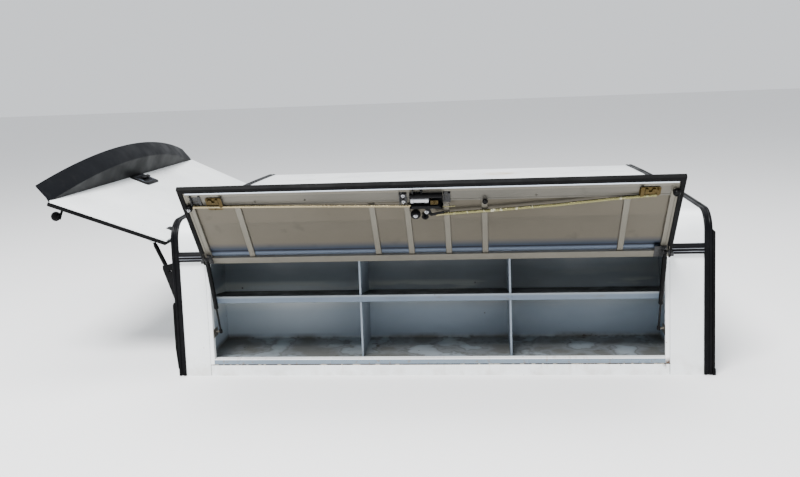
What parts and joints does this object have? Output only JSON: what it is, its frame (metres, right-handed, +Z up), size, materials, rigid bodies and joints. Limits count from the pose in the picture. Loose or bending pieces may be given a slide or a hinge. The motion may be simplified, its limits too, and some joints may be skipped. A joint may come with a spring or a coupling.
{
  "type": "pickup truck canopy",
  "caption": "Aluminium pickup truck canopy with a raised toolbox lift door on its side, a shelf and dividers inside, and a raised rear lift door, all on gas struts.",
  "frame": {"origin": "middle of the front rail's underside, where the cap rests on the truck's bed", "axes": "+X forward along the truck, +Y to the side whose toolbox is shut, +Z up; both modelled doors stand raised"},
  "size_m": [2.6016, 2.0799, 0.8758],
  "materials": {
    "white_paint": "gloss white baked paint, weathered",
    "inner_paint": "satin white paint, dusty",
    "mill_aluminium": "dull mill finish",
    "black_extrusion": "satin black",
    "black_rubber": "matt",
    "black_plastic": "grained, sun-faded",
    "black_steel": "satin black paint",
    "strut_rod_steel": "blackened piston rod",
    "yellow_zinc": "yellow passivated zinc"
  },
  "bodies": {
    "shell": {"near_rear_panel": "white_paint", "near_front_panel": "white_paint", "near_sill_panel": "white_paint", "near_upper_side": "white_paint", "far_lower_side": "white_paint", "far_upper_side": "white_paint", "roof_panel": "white_paint", "front_wall": "white_paint", "far_toolbox_door": "white_paint", "rear_posts": "white_paint", "rear_header": "white_paint", "header_rails": "white_paint", "toolbox_floor": "inner_paint", "toolbox_back": "inner_paint", "toolbox_ends": "inner_paint", "toolbox_ceiling": "inner_paint", "toolbox_shelf": "inner_paint", "toolbox_dividers": "inner_paint", "far_toolbox": "inner_paint", "side_base_rails": "mill_aluminium", "front_base_rail": "mill_aluminium", "toolbox_hinge_pin": "mill_aluminium", "toolbox_strut_mounts": "mill_aluminium", "near_belt_rail": "black_extrusion", "far_belt_rail": "black_extrusion", "front_edge_trim": "black_extrusion", "rear_edge_trim": "black_extrusion", "front_seals": "black_rubber", "rear_seals": "black_rubber", "rear_gussets": "black_steel", "rear_hinge_arms": "black_steel"},
    "toolbox_door": {"toolbox_door_hinge": "mill_aluminium", "toolbox_door_skin": "white_paint", "toolbox_door_frame": "mill_aluminium", "toolbox_door_ribs": "mill_aluminium", "toolbox_door_seal": "black_rubber", "toolbox_latch_rail": "mill_aluminium", "toolbox_end_latches": "yellow_zinc", "toolbox_latch_rods": "yellow_zinc", "toolbox_lock": "black_steel"},
    "rear_door": {"rear_door_panel": "white_paint", "rear_door_frame": "inner_paint", "rear_door_seal": "black_rubber", "rear_door_skirt": "black_plastic", "rear_door_hinges": "black_steel", "rear_handle_base": "black_plastic", "rear_door_bumpers": "black_rubber"},
    "rear_handle": {"rear_handle": "black_plastic"},
    "toolbox_rear_strut_rod": {"toolbox_rear_strut_rod": "strut_rod_steel"},
    "toolbox_rear_strut_cylinder": {"toolbox_rear_strut_cylinder": "black_steel"},
    "toolbox_front_strut_rod": {"toolbox_front_strut_rod": "strut_rod_steel"},
    "toolbox_front_strut_cylinder": {"toolbox_front_strut_cylinder": "black_steel"},
    "near_rear_strut_rod": {"near_rear_strut_rod": "strut_rod_steel"},
    "near_rear_strut_cylinder": {"near_rear_strut_cylinder": "black_steel"},
    "far_rear_strut_rod": {"far_rear_strut_rod": "strut_rod_steel"},
    "far_rear_strut_cylinder": {"far_rear_strut_cylinder": "black_steel"}
  },
  "joints": [
    {"name": "toolbox_door_hinge", "type": "hinge", "parent": "shell", "child": "toolbox_door", "pos_m": [-1.0045, -0.902, 0.464], "axis": [1, 0, 0], "range_deg": [0, 141]},
    {"name": "toolbox_rear_strut_swing", "type": "hinge", "parent": "toolbox_door", "child": "toolbox_rear_strut_cylinder", "pos_m": [-1.853, -0.96304, 0.48535], "axis": [1, 0, 0], "range_deg": [-155.58, 0]},
    {"name": "toolbox_rear_strut_slide", "type": "slide", "parent": "toolbox_rear_strut_cylinder", "child": "toolbox_rear_strut_rod", "axis": [0, -0.3615, 0.9324], "range_m": [0, 0.09784]},
    {"name": "toolbox_front_strut_swing", "type": "hinge", "parent": "toolbox_door", "child": "toolbox_front_strut_cylinder", "pos_m": [-0.156, -0.96304, 0.48535], "axis": [1, 0, 0], "range_deg": [-155.58, 0]},
    {"name": "toolbox_front_strut_slide", "type": "slide", "parent": "toolbox_front_strut_cylinder", "child": "toolbox_front_strut_rod", "axis": [0, -0.3615, 0.9324], "range_m": [0, 0.09784]},
    {"name": "rear_door_hinge", "type": "hinge", "parent": "shell", "child": "rear_door", "pos_m": [-2.07, 0, 0.545], "axis": [0, -1, 0], "range_deg": [0, 112.75]},
    {"name": "near_rear_strut_swing", "type": "hinge", "parent": "rear_door", "child": "near_rear_strut_cylinder", "pos_m": [-2.14273, -0.75, 0.5267], "axis": [0, -1, 0], "range_deg": [-128.28, 0]},
    {"name": "near_rear_strut_slide", "type": "slide", "parent": "near_rear_strut_cylinder", "child": "near_rear_strut_rod", "axis": [-0.4068, 0, 0.9135], "range_m": [0, 0.07375]},
    {"name": "far_rear_strut_swing", "type": "hinge", "parent": "rear_door", "child": "far_rear_strut_cylinder", "pos_m": [-2.14273, 0.75, 0.5267], "axis": [0, -1, 0], "range_deg": [-128.28, 0]},
    {"name": "far_rear_strut_slide", "type": "slide", "parent": "far_rear_strut_cylinder", "child": "far_rear_strut_rod", "axis": [-0.4068, 0, 0.9135], "range_m": [0, 0.07375]},
    {"name": "rear_handle_turn", "type": "hinge", "parent": "rear_door", "child": "rear_handle", "pos_m": [-2.45658, 0, 0.69626], "axis": [0.3867, 0, 0.9222], "range_deg": [0, 90]}
  ],
  "couplings": [
    {"joint": "toolbox_rear_strut_swing", "follows": "toolbox_door_hinge", "ratio": -1.1033},
    {"joint": "toolbox_rear_strut_slide", "follows": "toolbox_door_hinge", "m_per_rad": 0.039717},
    {"joint": "toolbox_front_strut_swing", "follows": "toolbox_door_hinge", "ratio": -1.1033},
    {"joint": "toolbox_front_strut_slide", "follows": "toolbox_door_hinge", "m_per_rad": 0.039717},
    {"joint": "near_rear_strut_swing", "follows": "rear_door_hinge", "ratio": -1.1376},
    {"joint": "near_rear_strut_slide", "follows": "rear_door_hinge", "m_per_rad": 0.037426},
    {"joint": "far_rear_strut_swing", "follows": "rear_door_hinge", "ratio": -1.1376},
    {"joint": "far_rear_strut_slide", "follows": "rear_door_hinge", "m_per_rad": 0.037426}
  ]
}
